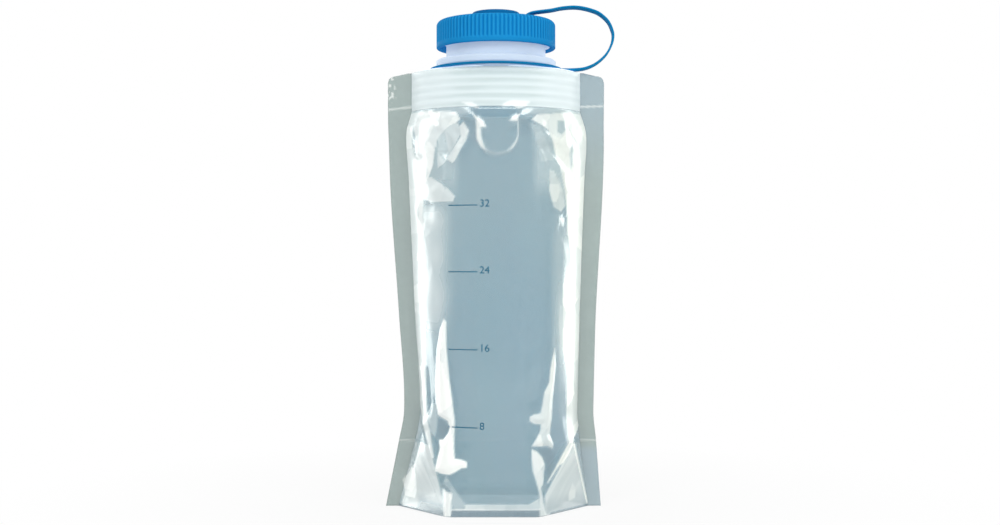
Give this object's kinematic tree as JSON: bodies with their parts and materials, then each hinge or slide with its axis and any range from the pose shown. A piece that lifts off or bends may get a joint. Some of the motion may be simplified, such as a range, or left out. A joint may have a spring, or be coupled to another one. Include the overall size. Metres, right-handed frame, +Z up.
{
  "type": "collapsible water bottle",
  "caption": "Stand-up film pouch bottle with a wide-mouth neck, ribbed screw cap, tether strap and folding bottom gusset.",
  "frame": {"origin": "on the floor, on the neck's axis, at the middle of the gusset's flat bottom", "axes": "+Z up along the neck's axis; -Y faces the front, with the fill scale; +X points to the side that the tether loops out to"},
  "size_m": [0.1274, 0.08, 0.2812],
  "materials": {
    "clear_film": "clear glossy laminate film, softly creased",
    "welded_film": "two layers of clear film welded together, grey-green at the edge",
    "milky_neck": "milky translucent polyethylene, satin",
    "blue_cap": "blue polypropylene, satin, moulded ribs",
    "blue_stud": "blue polypropylene, satin",
    "blue_tether": "flexible blue polyethylene, satin"
  },
  "bodies": {
    "bottle": {"spout_fitment": "milky_neck", "left_side_seam": "welded_film", "right_side_seam": "welded_film"},
    "front_wall": {"front_panel": "clear_film"},
    "back_wall": {"back_panel": "clear_film"},
    "base_front": {"gusset_front": "clear_film"},
    "base_back": {"gusset_back": "clear_film"},
    "stud": {"swivel_stud": "blue_stud"},
    "cap": {"screw_cap": "blue_cap"},
    "tether": {"tether_neck_ring": "blue_tether", "tether_strap": "blue_tether"},
    "eye": {"tether_eye": "blue_tether"}
  },
  "joints": [
    {"name": "wall_collapse", "type": "hinge", "parent": "bottle", "child": "front_wall", "pos_m": [0, -0.031, 0.222], "axis": [1, 0, 0], "range_deg": [0, 8.5], "deforming": ["front_panel"]},
    {"name": "back_wall_collapse", "type": "hinge", "parent": "bottle", "child": "back_wall", "pos_m": [0, 0.031, 0.222], "axis": [1, 0, 0], "range_deg": [-8.5, 0], "deforming": ["back_panel"]},
    {"name": "front_gusset_fold", "type": "hinge", "parent": "front_wall", "child": "base_front", "pos_m": [0, -0.039, 0], "axis": [1, 0, 0], "range_deg": [0, 73.6], "deforming": ["gusset_front"]},
    {"name": "back_gusset_fold", "type": "hinge", "parent": "back_wall", "child": "base_back", "pos_m": [0, 0.039, 0], "axis": [1, 0, 0], "range_deg": [-73.6, 0], "deforming": ["gusset_back"]},
    {"name": "cap_lift", "type": "slide", "parent": "bottle", "child": "stud", "axis": [0, 0, 1], "range_m": [0, 0.0179]},
    {"name": "cap_turn", "type": "hinge", "parent": "stud", "child": "cap", "pos_m": [0, 0, 0.2571], "axis": [0, 0, 1], "range_deg": [0, 1260]},
    {"name": "tether_swivel", "type": "hinge", "parent": "bottle", "child": "tether", "pos_m": [0, 0, 0.24533], "axis": [0, 0, 1], "continuous": true},
    {"name": "eye_lift", "type": "slide", "parent": "tether", "child": "eye", "axis": [0, 0, 1], "range_m": [0, 0.0179], "deforming": ["tether_strap"]}
  ],
  "couplings": [
    {"joint": "back_wall_collapse", "follows": "wall_collapse", "ratio": -1},
    {"joint": "front_gusset_fold", "follows": "wall_collapse", "ratio": 8.647},
    {"joint": "back_gusset_fold", "follows": "wall_collapse", "ratio": -8.647},
    {"joint": "cap_lift", "follows": "cap_turn", "m_per_rad": 0.00080851},
    {"joint": "eye_lift", "follows": "cap_turn", "m_per_rad": 0.00080851}
  ]
}
